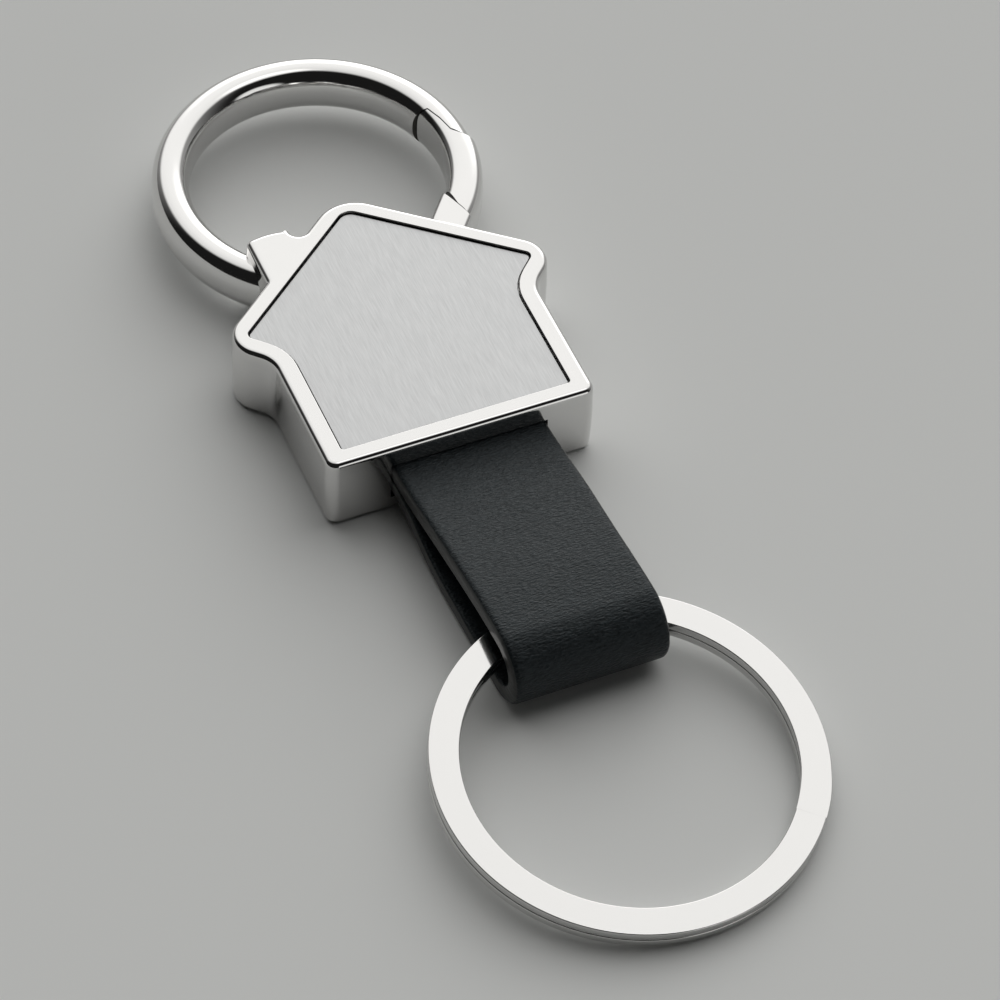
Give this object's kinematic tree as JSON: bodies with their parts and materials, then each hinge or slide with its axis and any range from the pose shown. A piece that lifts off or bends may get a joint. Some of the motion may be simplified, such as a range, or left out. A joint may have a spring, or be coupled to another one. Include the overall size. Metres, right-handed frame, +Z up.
{
  "type": "key ring",
  "caption": "Key ring with a cast house-shaped body, a spring gate ring, a doubled leather strap and a split ring.",
  "frame": {"origin": "centre of the house's flat back face, on the surface that the key ring lies on", "axes": "+Z up from the back face to the front plate; +Y from the strap's slot to the roof and the gate ring; +X to the side of the house that carries the gate"},
  "size_m": [0.0302, 0.091, 0.007],
  "materials": {
    "polished_zinc": "mirror-polished nickel plating on cast zinc",
    "brushed_steel": "fine brush lines along Y",
    "adhesive_film": "matt translucent film",
    "pin_steel": "plain drawn wire",
    "black_leather": "fine pebbled grain, semi-matt",
    "ring_steel": "bright nickel plating on flat steel wire"
  },
  "bodies": {
    "house": {"house_body": "polished_zinc", "front_plate": "brushed_steel", "plate_adhesive": "adhesive_film", "gate_pin": "pin_steel", "gate_spring": "pin_steel", "strap_root": "black_leather", "strap_pin_left": "pin_steel", "strap_pin_right": "pin_steel"},
    "gate": {"gate": "polished_zinc"},
    "strap": {"strap_loop": "black_leather"},
    "split_ring": {"split_ring": "ring_steel"}
  },
  "joints": [
    {"name": "gate_hinge", "type": "hinge", "parent": "house", "child": "gate", "pos_m": [0.00833, 0.0112, 0.0035], "axis": [0, 0, 1], "range_deg": [0, 15], "stiffness_Nm_per_rad": 0.01, "springref_deg": -22.92},
    {"name": "strap_flex", "type": "hinge", "parent": "house", "child": "strap", "pos_m": [0.0004, -0.0142, 0.0034], "axis": [1, 0, 0], "range_deg": [-60, 60], "stiffness_Nm_per_rad": 0.02},
    {"name": "ring_swing", "type": "hinge", "parent": "strap", "child": "split_ring", "pos_m": [0.0004, -0.0303, 0.00345], "axis": [1, 0, 0], "range_deg": [-35, 18]}
  ]
}
